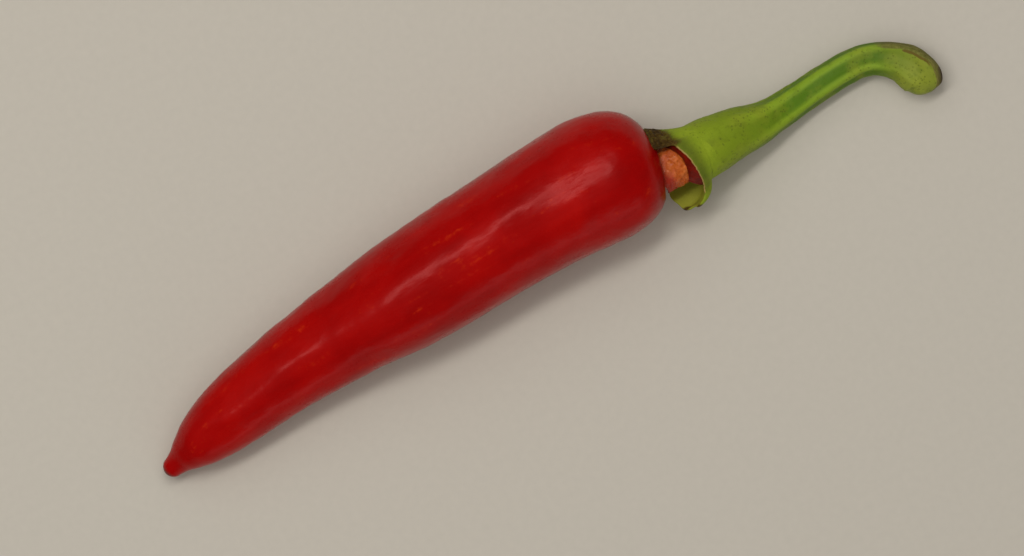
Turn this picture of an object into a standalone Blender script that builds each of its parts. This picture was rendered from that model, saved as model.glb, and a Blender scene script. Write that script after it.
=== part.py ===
"""A red chilli pepper with its green stem, lying on its side.

X runs along the pepper from the tip of the pod to the cut end of the stem, and Z is up from the
surface it lies on. The origin is under the middle of the pepper. The calyx has been pulled half
away from the pod, so a stump of orange flesh and a collar of torn skin show between the two.
"""

import math

import bmesh
import bpy
import numpy as np
from mathutils import Matrix, Vector

MM = 0.001  # the dimensions below are in millimetres

# Pod: the line through its middle, seen from above, and its radius by distance from the tip
POD_LENGTH = 91.0
POD_LINE = [(-66.7, -8.8), (-60.0, -6.7), (-48.0, -4.0), (-34.0, -2.2), (-18.0, -0.9),
            (-4.0, 0.4), (8.0, 1.0), (16.0, 0.95), (24.0, 0.75)]
POD_RADII = [(0.0, 0.0), (0.35, 0.95), (2.2, 1.75), (4.8, 2.9), (8.5, 4.5), (14.0, 5.5),
             (24.0, 6.3), (36.0, 7.35), (48.0, 8.8), (62.0, 9.25), (74.0, 9.65), (81.0, 10.0),
             (84.5, 9.8), (87.0, 8.8), (89.5, 7.0), (90.6, 5.2), (POD_LENGTH, 3.4)]
POD_SIDES = 32
NUB_LENGTH = 1.0  # the small point that the pod ends in
SHOULDER_START = 80.0  # from here the pod rounds over to its stem end
SINK = 0.2  # how far the soft flesh flattens where it rests
TIP_LIFT = 1.2  # the tip stands clear of the surface
LIFTED_LENGTH = 26.0

# Torn neck between pod and calyx
NECK_CENTRE = (22.4, -2.4, 9.8)
FLESH_RADIUS = 3.4
FLESH_LENGTH = 4.2
RECESS_DEPTH = 0.9
GAP = 0.35  # clearance between neighbouring solids

# Calyx: a cup on a sloping axis, its mouth towards the pod. Distances run back from the mouth
MOUTH_CENTRE = (25.1, -2.35, 9.6)
CALYX_SLOPE = math.radians(20.0)
CALYX_OUTSIDE = [(0.0, 5.4), (1.2, 5.1), (3.1, 4.7)]
CALYX_INSIDE = [(0.0, 4.9), (1.2, 4.65), (2.0, 4.4), (2.4, 3.9)]
CALYX_SIDES = 36
# Lobes of the rim: angle from straight up towards +Y, half width, reach to the pod, flare outwards
LOBES = [(66.0, 30.0, 2.1, 1.9), (-92.0, 24.0, 1.2, 2.2), (-132.0, 22.0, 1.2, 1.6),
         (165.0, 30.0, 1.4, 1.2)]
LOBE_ROOT = 3.1  # the lobes leave the cup this far behind its mouth

# Collar of torn skin that lines the upper half of the mouth
COLLAR_RADIUS = 4.0
COLLAR_WALL = 0.35
COLLAR_WIDTH = 1.2
COLLAR_START = 0.5
COLLAR_SWEEP = math.radians(210.0)

# Stem: points along its middle with the radius there, from its flared top to the hooked end
STEM_POINTS = [((28.4, -2.33, 8.4), 4.6), ((31.6, -2.3, 7.25), 4.3), ((34.8, -2.45, 6.05), 3.75),
               ((38.0, -2.65, 4.95), 3.1), ((41.5, -2.6, 3.95), 2.75), ((46.0, -2.1, 3.3), 2.55),
               ((50.5, -1.55, 3.15), 2.45), ((54.8, -1.4, 3.1), 2.5), ((58.4, -2.0, 3.05), 2.6),
               ((61.4, -3.9, 3.05), 2.8), ((63.4, -6.4, 3.1), 3.15), ((64.4, -8.5, 3.15), 3.2),
               ((65.0, -10.1, 3.1), 2.4)]
CUT_POINT = (66.7, -8.9, 3.0)  # the stem's end is cut at a slant through here
CUT_NORMAL = (0.86, -0.46, -0.2)


def start_scene():
    """Removes what the file opened with. Returns the collections for the solids and the cutters."""
    for thing in list(bpy.data.objects):
        bpy.data.objects.remove(thing, do_unlink=True)
    made = []
    for name in ("chilli_pepper", "cutters"):
        collection = bpy.data.collections.new(name)
        bpy.context.scene.collection.children.link(collection)
        made.append(collection)
    return made


def material(name, colour, roughness):
    made = bpy.data.materials.new(name)
    made.use_nodes = True
    shader = made.node_tree.nodes["Principled BSDF"]
    shader.inputs["Base Color"].default_value = (*colour, 1.0)
    shader.inputs["Roughness"].default_value = roughness
    shader.inputs["Metallic"].default_value = 0.0
    return made


def add(collection, name, data, finish=None):
    thing = bpy.data.objects.new(name, data)
    collection.objects.link(thing)
    if finish:
        data.materials.append(finish)
    return thing


def hidden(thing):
    """Makes a cutter or a guide: seen as a wire, never rendered."""
    thing.hide_render = True
    thing.display_type = "WIRE"
    return thing


def smooth_value(knots, at):
    """Value at a distance along (distance, value) knots, on a curve that never overshoots them."""
    x, y = np.array(knots, float).T
    steps = np.diff(x)
    slopes = np.diff(y) / steps
    tangents = np.zeros(len(x))
    tangents[0], tangents[-1] = slopes[0], slopes[-1]
    for i in range(1, len(x) - 1):
        if slopes[i - 1] * slopes[i] > 0:
            before, after = 2 * steps[i] + steps[i - 1], steps[i] + 2 * steps[i - 1]
            tangents[i] = (before + after) / (before / slopes[i - 1] + after / slopes[i])
    i = int(np.clip(np.searchsorted(x, at, side="right") - 1, 0, len(x) - 2))
    t = (at - x[i]) / steps[i]
    rise = 3 * t**2 - 2 * t**3
    left, right = t * (1 - t) ** 2, t**2 * (t - 1)
    return y[i] + rise * (y[i + 1] - y[i]) + steps[i] * (left * tangents[i] + right * tangents[i + 1])


def bezier(collection, name, points):
    """A smooth curve object through (x, y, z) points, with a radius where a point brings one."""
    data = bpy.data.curves.new(name, "CURVE")
    data.dimensions = "3D"
    data.resolution_u = 6
    spline = data.splines.new("BEZIER")
    spline.bezier_points.add(len(points) - 1)
    spline.radius_interpolation = "CARDINAL"
    for knot, (place, radius) in zip(spline.bezier_points, points):
        knot.co = Vector(place) * MM
        knot.radius = radius
        knot.handle_left_type = knot.handle_right_type = "AUTO"
    return add(collection, name, data)


def turned(collection, name, profile, sides, finish):
    """A solid of revolution about X, from (x, radius) points that start and end on the axis."""
    data = bpy.data.meshes.new(name)
    data.from_pydata([(x * MM, 0.0, r * MM) for x, r in profile],
                     [(i, i + 1) for i in range(len(profile) - 1)], [])
    thing = add(collection, name, data, finish)
    screw = thing.modifiers.new("Turn", "SCREW")
    screw.axis = "X"
    screw.steps = screw.render_steps = sides
    screw.use_merge_vertices = True
    screw.merge_threshold = 0.00001
    screw.use_normal_calculate = True
    screw.use_smooth_shade = True
    return thing


def cut(thing, cutter):
    boolean = thing.modifiers.new("Cut " + cutter.name, "BOOLEAN")
    boolean.operation = "DIFFERENCE"
    boolean.object = cutter


def box_cutter(collection, name, size, place, turn=None):
    bpy.ops.mesh.primitive_cube_add(size=1.0)
    thing = bpy.context.object
    thing.name = name
    thing.data.transform(Matrix.Diagonal((*[side * MM for side in size], 1.0)))
    thing.location = Vector(place) * MM
    if turn:
        thing.rotation_mode = "QUATERNION"
        thing.rotation_quaternion = turn
    move_to(collection, thing)
    return hidden(thing)


def cylinder(collection, name, radius, length, centre, direction, sides):
    bpy.ops.mesh.primitive_cylinder_add(vertices=sides, radius=radius * MM, depth=length * MM)
    thing = bpy.context.object
    thing.name = name
    thing.location = Vector(centre) * MM
    thing.rotation_mode = "QUATERNION"
    thing.rotation_quaternion = Vector(direction).to_track_quat("Z", "Y")
    move_to(collection, thing)
    return thing


def move_to(collection, thing):
    for other in list(thing.users_collection):
        other.objects.unlink(thing)
    collection.objects.link(thing)


def pod_line():
    """Points of the pod's middle line, each as high as the pod's radius there, less the flattening."""
    points = []
    travelled = 0.0
    for i, (x, y) in enumerate(POD_LINE):
        if i:
            travelled += math.dist((x, y), POD_LINE[i - 1])
        radius = smooth_value(POD_RADII, min(travelled, SHOULDER_START))
        lift = TIP_LIFT * max(0.0, 1.0 - travelled / LIFTED_LENGTH) ** 2
        points.append(((x, y, radius - SINK + lift), 1.0))
    return points


def make_pod(parts, helpers, ground):
    """The red fruit: a turned profile bent along its middle line, flat where it rests."""
    stations = [*np.linspace(0.0, NUB_LENGTH, 4, endpoint=False),
                *np.linspace(NUB_LENGTH, SHOULDER_START, 29, endpoint=False),
                *np.linspace(SHOULDER_START, POD_LENGTH, 12)]
    profile = [(s, smooth_value(POD_RADII, s)) for s in stations]
    profile.append((POD_LENGTH, 0.0))
    pod = turned(parts, "pod", profile, POD_SIDES, material("pod_red", (0.42, 0.008, 0.008), 0.28))
    line = bezier(helpers, "pod_middle", pod_line())
    line.data.resolution_u = 24
    hidden(line)
    bend = pod.modifiers.new("Bend", "CURVE")
    bend.object = line
    bend.deform_axis = "POS_X"
    drill_length = 6.0
    centre = Vector(NECK_CENTRE) + Vector((drill_length / 2 - RECESS_DEPTH, 0.0, 0.0))
    recess = cylinder(helpers, "neck_recess", FLESH_RADIUS + GAP, drill_length, centre, (1, 0, 0), 32)
    cut(pod, hidden(recess))
    cut(pod, ground)


def make_torn_flesh(parts):
    """The stump of orange flesh that joined pod and calyx."""
    centre = Vector(NECK_CENTRE) + Vector((FLESH_LENGTH / 2 + GAP - RECESS_DEPTH, 0.0, 0.0))
    flesh = cylinder(parts, "torn_flesh", FLESH_RADIUS, FLESH_LENGTH, centre, (1, 0, 0), 28)
    flesh.data.materials.append(material("flesh_orange", (0.72, 0.14, 0.03), 0.45))
    bevel = flesh.modifiers.new("Round", "BEVEL")
    bevel.width = 0.6 * MM
    bevel.segments = 3


def calyx_frame():
    """Matrix of the calyx: its +X runs back from the mouth, down the slope, to the stem."""
    return Matrix.Translation(Vector(MOUTH_CENTRE) * MM) @ Matrix.Rotation(CALYX_SLOPE, 4, "Y")


def lobe_reach(angle):
    """How far the rim's lobes reach to the pod, and flare, at an angle in degrees from the top."""
    reach = flare = 0.0
    for middle, half_width, long, wide in LOBES:
        off = (angle - middle + 180.0) % 360.0 - 180.0
        share = max(0.0, math.cos(math.pi / 2 * min(1.0, abs(off) / half_width)))
        reach = max(reach, long * share)
        flare = max(flare, wide * share)
    return reach, flare


def calyx_ring(mesh, back, radius):
    """One ring of the cup. The nearer it is to the mouth, the more of the lobes it takes."""
    rim_share = max(0.0, 1.0 - back / LOBE_ROOT)
    ring = []
    for i in range(CALYX_SIDES):
        angle = 360.0 * i / CALYX_SIDES
        reach, flare = lobe_reach(angle)
        out = radius + flare * rim_share
        turn = math.radians(angle)
        point = Vector((back - reach * rim_share, out * math.sin(turn), out * math.cos(turn)))
        ring.append(mesh.verts.new(point * MM))
    return ring


def make_calyx(parts):
    """The green cup, lofted from its back out to the lobed rim and in again to its floor."""
    mesh = bmesh.new()
    outline = [*reversed(CALYX_OUTSIDE), *CALYX_INSIDE]
    rings = [calyx_ring(mesh, back, radius) for back, radius in outline]
    for ring, after in zip(rings, rings[1:]):
        for i in range(CALYX_SIDES):
            k = (i + 1) % CALYX_SIDES
            mesh.faces.new((ring[i], ring[k], after[k], after[i]))
    mesh.faces.new(rings[0])
    mesh.faces.new(reversed(rings[-1]))
    bmesh.ops.recalc_face_normals(mesh, faces=mesh.faces)
    data = bpy.data.meshes.new("calyx")
    mesh.to_mesh(data)
    mesh.free()
    data.shade_smooth()
    calyx = add(parts, "calyx", data, material("calyx_green", (0.2, 0.3, 0.03), 0.5))
    calyx.matrix_world = calyx_frame()


def make_torn_skin(parts):
    """The strip of dark skin that tore off with the calyx and lines the upper half of its mouth."""
    stations = np.linspace(COLLAR_START, COLLAR_START + COLLAR_WIDTH, 4)
    data = bpy.data.meshes.new("torn_skin")
    data.from_pydata([(x * MM, 0.0, COLLAR_RADIUS * MM) for x in stations],
                     [(i, i + 1) for i in range(len(stations) - 1)], [])
    skin = add(parts, "torn_skin", data, material("skin_dark_red", (0.14, 0.008, 0.006), 0.4))
    sweep = skin.modifiers.new("Sweep", "SCREW")
    sweep.axis = "X"
    sweep.angle = COLLAR_SWEEP
    sweep.steps = sweep.render_steps = 20
    sweep.use_smooth_shade = True
    wall = skin.modifiers.new("Wall", "SOLIDIFY")
    wall.thickness = COLLAR_WALL * MM
    wall.offset = 0.0
    skin.matrix_world = calyx_frame() @ Matrix.Rotation(-COLLAR_SWEEP / 2, 4, "X")


def make_stem(parts, helpers, ground):
    """The stalk: flared where it carries the calyx, then thin, and hooked round to its cut end."""
    guide = bezier(helpers, "stem_middle", STEM_POINTS)
    guide.data.bevel_depth = MM
    guide.data.bevel_resolution = 5
    guide.data.use_fill_caps = True
    bpy.context.view_layer.update()
    evaluated = guide.evaluated_get(bpy.context.evaluated_depsgraph_get())
    data = bpy.data.meshes.new_from_object(evaluated)
    mesh = bmesh.new()
    mesh.from_mesh(data)
    bmesh.ops.remove_doubles(mesh, verts=mesh.verts, dist=0.00001)
    mesh.to_mesh(data)
    mesh.free()
    data.shade_smooth()
    stem = add(parts, "stem", data, material("stem_green", (0.13, 0.28, 0.02), 0.5))
    stem.matrix_world = guide.matrix_world
    bpy.data.objects.remove(guide)
    turn = Vector(CUT_NORMAL).to_track_quat("Z", "Y")
    blade_depth = 6.0
    centre = Vector(CUT_POINT) + Vector(CUT_NORMAL).normalized() * blade_depth / 2
    cut(stem, box_cutter(helpers, "end_cut", (14.0, 14.0, blade_depth), centre, turn))
    cut(stem, ground)


def main():
    parts, helpers = start_scene()
    ground = box_cutter(helpers, "ground", (180.0, 60.0, 8.0), (0.0, 0.0, -4.0))
    make_pod(parts, helpers, ground)
    make_torn_flesh(parts)
    make_torn_skin(parts)
    make_calyx(parts)
    make_stem(parts, helpers, ground)


main()
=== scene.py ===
import math

import bmesh
import bpy
import numpy as np
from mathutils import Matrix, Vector


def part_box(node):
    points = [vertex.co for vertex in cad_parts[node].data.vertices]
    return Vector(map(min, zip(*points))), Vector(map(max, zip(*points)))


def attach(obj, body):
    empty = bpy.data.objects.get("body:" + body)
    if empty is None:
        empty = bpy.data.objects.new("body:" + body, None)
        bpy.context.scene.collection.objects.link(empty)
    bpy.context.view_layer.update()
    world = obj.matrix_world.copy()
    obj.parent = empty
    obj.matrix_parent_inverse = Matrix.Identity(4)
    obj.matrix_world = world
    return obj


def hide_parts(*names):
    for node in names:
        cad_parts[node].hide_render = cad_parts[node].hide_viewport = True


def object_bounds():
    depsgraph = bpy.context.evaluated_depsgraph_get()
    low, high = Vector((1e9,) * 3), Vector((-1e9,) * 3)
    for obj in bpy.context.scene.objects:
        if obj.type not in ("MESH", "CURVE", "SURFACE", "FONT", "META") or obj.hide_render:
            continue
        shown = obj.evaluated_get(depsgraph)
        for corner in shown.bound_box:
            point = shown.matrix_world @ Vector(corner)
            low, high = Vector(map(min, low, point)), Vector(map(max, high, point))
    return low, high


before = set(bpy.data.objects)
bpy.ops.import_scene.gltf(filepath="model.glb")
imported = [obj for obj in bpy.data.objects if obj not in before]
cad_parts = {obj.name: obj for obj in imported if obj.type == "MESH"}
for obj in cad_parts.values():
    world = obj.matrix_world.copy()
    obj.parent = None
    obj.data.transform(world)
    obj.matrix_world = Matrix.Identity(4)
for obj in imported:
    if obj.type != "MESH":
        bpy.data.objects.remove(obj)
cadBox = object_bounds()
print("frame loaded:", ", ".join(sorted(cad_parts)))

mm = 0.001  # sizes below are in millimetres, Blender works in metres


# Where a CAD node is, in millimetres: its low end along X, the middle of its width, its underside
def placeOf(node):
    low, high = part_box(node)
    return Vector((low.x, (low.y + high.y) / 2.0, low.z)) / mm


def metres(lengths):
    return [length * mm for length in lengths]


# One output of a node, which takes part in sums
class Wire:
    def __init__(self, graph, socket):
        self.graph = graph
        self.socket = socket

    def __add__(self, other):
        return self.graph.math("ADD", self, other)

    def __sub__(self, other):
        return self.graph.math("SUBTRACT", self, other)

    def __rsub__(self, other):
        return self.graph.math("SUBTRACT", other, self)

    def __mul__(self, other):
        return self.graph.math("MULTIPLY", self, other)

    def __truediv__(self, other):
        return self.graph.math("DIVIDE", self, other)

    def __rtruediv__(self, other):
        return self.graph.math("DIVIDE", other, self)

    def __pow__(self, other):
        return self.graph.math("POWER", self, other)

    __radd__ = __add__
    __rmul__ = __mul__


# A node tree, for a material or for geometry
class Graph:
    def __init__(self, tree):
        self.tree = tree

    # every node is made here: its settings first, then the values or wires of its sockets
    def node(self, kind, settings=None, sockets=None, out=0):
        made = self.tree.nodes.new(kind)
        for name, value in (settings or {}).items():
            if name == "stops":
                fillRamp(made.color_ramp, value)
            elif name == "curve":
                fillCurve(made.mapping, value)
            else:
                setattr(made, name, value)
        for name, value in (sockets or {}).items():
            socket = pick(made.inputs, name)
            if isinstance(value, Wire):
                self.tree.links.new(value.socket, socket)
            elif socket.type == "RGBA":
                socket.default_value = (*value, 1.0)
            else:
                socket.default_value = value
        return Wire(self, pick(made.outputs, out))

    def math(self, operation, *terms):
        return self.node("ShaderNodeMath", {"operation": operation}, dict(enumerate(terms)))

    def vector(self, operation, *terms, out=0):
        return self.node("ShaderNodeVectorMath", {"operation": operation}, dict(enumerate(terms)), out)

    def smooth(self, value, low, high):  # 0 below low, 1 above high, eased between
        return self.node("ShaderNodeMapRange", {"interpolation_type": "SMOOTHSTEP"},
                         {"Value": value, "From Min": low, "From Max": high})

    def blend(self, share, first, second):  # colours
        return self.node("ShaderNodeMix", {"data_type": "RGBA"},
                         {"Factor": share, "A": first, "B": second})

    def ramp(self, stops, value):  # colours at places from 0 to 1
        return self.node("ShaderNodeValToRGB", {"stops": stops}, {"Fac": value})

    def noise(self, place, size, detail=2.0, roughness=0.5, distortion=0.0):  # size in millimetres
        return self.node("ShaderNodeTexNoise", None,
                         {"Vector": place, "Scale": 1.0 / (size * mm), "Detail": detail,
                          "Roughness": roughness, "Distortion": distortion})

    def stretch(self, place, x, y, z):
        return self.vector("MULTIPLY", place, (x, y, z))

    def split(self, place):
        node = self.node("ShaderNodeSeparateXYZ", None, {"Vector": place}).socket.node
        return [Wire(self, socket) for socket in node.outputs]

    def join(self, x, y, z):
        return self.node("ShaderNodeCombineXYZ", None, {"X": x, "Y": y, "Z": z})

    def cells(self, place, size):  # distance to the nearest of many scattered points
        return self.node("ShaderNodeTexVoronoi", {"feature": "F1"},
                         {"Vector": place, "Scale": 1.0 / (size * mm)}, "Distance")


# A socket that is in use, by its name or its number
def pick(sockets, name):
    live = [socket for socket in sockets if socket.enabled]
    if isinstance(name, int):
        return live[name]
    return next(socket for socket in live if socket.name == name)


def fillRamp(ramp, stops):
    while len(ramp.elements) < len(stops):
        ramp.elements.new(0.5)
    for element, (place, colour) in zip(ramp.elements, stops):
        element.position = place
        element.color = (*colour, 1.0)


def fillCurve(mapping, points):
    curve = mapping.curves[0]
    while len(curve.points) < len(points):
        curve.points.new(0.5, 0.5)
    for point, place in zip(curve.points, points):
        point.location = place
        point.handle_type = "AUTO_CLAMPED"
    mapping.update()


# the input that each kind of value makes
socketKinds = {float: "NodeSocketFloat", int: "NodeSocketInt", tuple: "NodeSocketVector"}


# A geometry node tree with named inputs
class Shape(Graph):
    def __init__(self, name, values, finish):
        super().__init__(bpy.data.node_groups.new(name, "GeometryNodeTree"))
        self.values = values
        self.finish = finish
        face = self.tree.interface
        face.new_socket("Geometry", in_out="INPUT", socket_type="NodeSocketGeometry")
        face.new_socket("Geometry", in_out="OUTPUT", socket_type="NodeSocketGeometry")
        self.keys = {}
        for label, value in values.items():
            socket = face.new_socket(label, in_out="INPUT", socket_type=socketKinds[type(value)])
            self.keys[label] = socket.identifier
        self.start = self.tree.nodes.new("NodeGroupInput")

    def given(self, label):
        return Wire(self, self.start.outputs[label])

    def named(self, name, kind="FLOAT"):
        return self.node("GeometryNodeInputNamedAttribute", {"data_type": kind}, {"Name": name})

    def store(self, geometry, name, value, kind="FLOAT"):
        return self.node("GeometryNodeStoreNamedAttribute", {"data_type": kind, "domain": "POINT"},
                         {"Geometry": geometry, "Name": name, "Value": value})

    def move(self, geometry, offset):
        return self.node("GeometryNodeSetPosition", None, {"Geometry": geometry, "Offset": offset})

    def push(self, geometry, direction, distance):
        offset = self.node("ShaderNodeVectorMath", {"operation": "SCALE"},
                           {"Vector": direction, "Scale": distance})
        return self.move(geometry, offset)

    # what would be below the surface it lies on settles flat on it
    def settle(self, geometry, softness):
        x, y, z = self.split(self.node("GeometryNodeInputPosition"))
        z = self.node("ShaderNodeMath", {"operation": "SMOOTH_MAX"}, {0: z, 1: 0.0, 2: softness * mm})
        return self.node("GeometryNodeSetPosition", None,
                         {"Geometry": geometry, "Position": self.join(x, y, z)})

    def close(self, geometry):
        geometry = self.node("GeometryNodeSetShadeSmooth", None, {"Geometry": geometry})
        geometry = self.node("GeometryNodeRealizeInstances", None, {"Geometry": geometry})
        geometry = self.node("GeometryNodeSetMaterial", None,
                             {"Geometry": geometry, "Material": self.finish})
        end = self.tree.nodes.new("NodeGroupOutput")
        self.tree.links.new(geometry.socket, end.inputs["Geometry"])

    # runs the tree on a guide line and keeps the result as a plain mesh object
    def grow(self, name, guide):
        modifier = guide.modifiers.new(self.tree.name, "NODES")
        modifier.node_group = self.tree
        for label, value in self.values.items():
            modifier[self.keys[label]] = value
        bpy.context.view_layer.update()
        evaluated = guide.evaluated_get(bpy.context.evaluated_depsgraph_get())
        data = bpy.data.meshes.new_from_object(evaluated)
        bpy.data.objects.remove(guide)
        data.name = name
        for attribute in ("middle", "heading", "girth"):
            data.attributes.remove(data.attributes[attribute])
        piece = bpy.data.objects.new(name, data)
        bpy.context.scene.collection.objects.link(piece)
        return piece


# Rings of a round thing along its guide line, closer together at its two ends. Each point of the
# mesh keeps how far along it is, the middle of its ring and the way the line runs there.
def sweep(shape, radiusAt):
    line = shape.given("Geometry")
    part = shape.node("GeometryNodeSplineParameter", out="Factor")
    eased = (1.0 - shape.math("COSINE", part * math.pi)) * 0.5
    place = shape.node("GeometryNodeSampleCurve", {"mode": "FACTOR"},
                       {"Curves": line, "Factor": eased}, "Position")
    rings = shape.node("GeometryNodeResampleCurve", {"mode": "COUNT"},
                       {"Curve": line, "Count": shape.given("Rings")})
    rings = shape.node("GeometryNodeSetPosition", None, {"Geometry": rings, "Position": place})
    rings = shape.node("GeometryNodeSetCurveNormal", {"mode": "Z_UP"}, {"Curve": rings})
    along = shape.node("GeometryNodeSplineParameter", out="Length")
    rings = shape.store(rings, "along", along)
    rings = shape.store(rings, "middle", shape.node("GeometryNodeInputPosition"), "FLOAT_VECTOR")
    rings = shape.store(rings, "heading", shape.node("GeometryNodeInputTangent"), "FLOAT_VECTOR")
    rings = shape.store(rings, "girth", radiusAt(along))
    circle = shape.node("GeometryNodeCurvePrimitiveCircle", None,
                        {"Resolution": shape.given("Sides"), "Radius": 1.0})
    mesh = shape.node("GeometryNodeCurveToMesh", None,
                      {"Curve": rings, "Profile Curve": circle, "Scale": shape.named("girth"),
                       "Fill Caps": True})
    # the smallest rings, at the ends, close to a point
    return shape.node("GeometryNodeMergeByDistance", None, {"Geometry": mesh, "Distance": 0.02 * mm})


# A point's place as if the line were straight: distance along, out to the side, and up
def straightened(shape):
    out = shape.vector("SUBTRACT", shape.node("GeometryNodeInputPosition"),
                       shape.named("middle", "FLOAT_VECTOR"))
    heading = shape.named("heading", "FLOAT_VECTOR")
    side = shape.vector("NORMALIZE", shape.vector("CROSS_PRODUCT", (0.0, 0.0, 1.0), heading))
    up = shape.vector("CROSS_PRODUCT", heading, side)
    across = shape.vector("DOT_PRODUCT", out, side, out="Value")
    above = shape.vector("DOT_PRODUCT", out, up, out="Value")
    return shape.join(shape.named("along"), across, above)


def widest(piece):
    return max(radius for _, radius in piece["radii"])


# A piece's radii as a soft curve of the distance along it, 1 where it is widest
def girthCurve(shape, piece, along):
    points = [(place / piece["length"], radius / widest(piece)) for place, radius in piece["radii"]]
    return shape.node("ShaderNodeFloatCurve", {"curve": points}, {"Value": along / shape.given("Length")})


# A closed end: 1 along the body, rounding to 0 over the last stretch before a place
def rounding(shape, along, start, end, bulge, power):
    share = shape.math("MAXIMUM", (along - start) / (end - start), 0.0)
    share = shape.math("MINIMUM", share, 1.0)
    return (1.0 - share ** bulge) ** (1.0 / power)


# A soft curve through points given in millimetres from a start
def guideLine(name, start, points):
    data = bpy.data.curves.new(name, "CURVE")
    data.dimensions = "3D"
    data.resolution_u = 32
    spline = data.splines.new("BEZIER")
    spline.bezier_points.add(len(points) - 1)
    for knot, place in zip(spline.bezier_points, points):
        knot.co = (start + Vector(place)) * mm
        knot.handle_left_type = "AUTO"
        knot.handle_right_type = "AUTO"
    line = bpy.data.objects.new(name, data)
    bpy.context.scene.collection.objects.link(line)
    return line


# A material round one Principled shader, with its even values set on the shader
class Finish(Graph):
    def __init__(self, name, even):
        self.material = bpy.data.materials.new(name)
        self.material.use_nodes = True
        super().__init__(self.material.node_tree)
        self.shader = self.tree.nodes["Principled BSDF"]
        for label, value in even.items():
            self.shader.inputs[label].default_value = value

    def paint(self, **wires):
        labels = {"colour": "Base Color", "roughness": "Roughness", "bump": "Normal"}
        for name, wire in wires.items():
            self.tree.links.new(wire.socket, self.shader.inputs[labels[name]])
        return self.material

    def mark(self, name, out="Fac"):
        return self.node("ShaderNodeAttribute", {"attribute_name": name}, None, out)

    def bump(self, height, depth):  # depth in millimetres for a height of 1
        return self.node("ShaderNodeBump", None,
                         {"Height": height, "Distance": depth * mm, "Strength": 1.0})


# Camera, light and floor
studio = {
    "lookAt": (-6.07, -6.47, 9.0),  # from the middle of the pepper's underside
    "distance": 1400.0,
    "roll": -27.2,  # degrees: the pepper runs up to the right
    "viewWidth": 156.8,  # how wide a stretch of the surface it takes in
    "floorReach": 3000.0,
    "floorColour": (0.567, 0.528, 0.455),
    "floorGrain": 1.2,
    "floorShade": 0.93,  # how bright the darker grains are beside the others
    "skyColour": (1.0, 0.97, 0.93),
    "skyPower": 0.26,
}

# millimetres and watts
lights = {
    "softbox": {"size": (420.0, 72.0), "place": (-40.0, 150.0, 520.0), "aim": (-10.0, 0.0, 0.0),
                "power": 1.08, "colour": (1.0, 0.98, 0.95), "mirrored": True},
    "ceiling": {"size": (1600.0, 1600.0), "place": (-100.0, 150.0, 900.0), "aim": (0.0, 0.0, 0.0),
                "power": 4.9, "colour": (1.0, 0.98, 0.96), "mirrored": False},  # not in reflections
    "lowFill": {"size": (900.0, 150.0), "place": (0.0, -800.0, 150.0), "aim": (0.0, 0.0, 10.0),
                "power": 0.65, "colour": (1.0, 0.97, 0.94), "mirrored": True},
}


def makeCamera():
    data = bpy.data.cameras.new("camera")
    data.sensor_width = 36.0
    data.lens = data.sensor_width * studio["distance"] / studio["viewWidth"]
    data.clip_start = 0.01
    camera = bpy.data.objects.new("camera", data)
    bpy.context.scene.collection.objects.link(camera)
    middle = (cadBox[0] + cadBox[1]) / 2.0
    middle.z = 0.0
    above = Vector((0.0, 0.0, studio["distance"]))
    camera.location = middle + (Vector(studio["lookAt"]) + above) * mm
    camera.rotation_euler = (0.0, 0.0, math.radians(studio["roll"]))
    bpy.context.scene.camera = camera


def makeLight(name, size, place, aim, power, colour, mirrored):
    data = bpy.data.lights.new(name, "AREA")
    data.shape = "RECTANGLE"
    data.size = size[0] * mm
    data.size_y = size[1] * mm
    data.energy = power
    data.color = colour
    light = bpy.data.objects.new(name, data)
    bpy.context.scene.collection.objects.link(light)
    light.location = Vector(place) * mm
    away = Vector(place) - Vector(aim)
    light.rotation_euler = away.to_track_quat("Z", "Y").to_euler()
    light.visible_glossy = mirrored


def makeFloor():
    side = studio["floorReach"] * mm
    data = bpy.data.meshes.new("floor")
    corners = [(-side, -side, 0.0), (side, -side, 0.0), (side, side, 0.0), (-side, side, 0.0)]
    data.from_pydata(corners, [], [(0, 1, 2, 3)])
    floor = bpy.data.objects.new("floor", data)
    bpy.context.scene.collection.objects.link(floor)
    finish = Finish("paleFloor", {"Roughness": 0.7, "Specular IOR Level": 0.3})
    place = finish.node("ShaderNodeTexCoord", out="Object")
    grain = finish.noise(place, studio["floorGrain"], 3.0)
    darker = [share * studio["floorShade"] for share in studio["floorColour"]]
    data.materials.append(finish.paint(colour=finish.blend(grain, darker, studio["floorColour"])))


def makeStudio():
    makeCamera()
    for name, settings in lights.items():
        makeLight(name, **settings)
    world = bpy.data.worlds.new("sky")
    bpy.context.scene.world = world
    world.use_nodes = True
    sky = world.node_tree.nodes["Background"]
    sky.inputs["Color"].default_value = (*studio["skyColour"], 1.0)
    sky.inputs["Strength"].default_value = studio["skyPower"]
    world.cycles_visibility.glossy = False  # the wax shows the softbox, not a grey sky
    bpy.context.scene.view_settings.view_transform = "Standard"
    makeFloor()


makeStudio()
print("studio ready")


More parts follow.
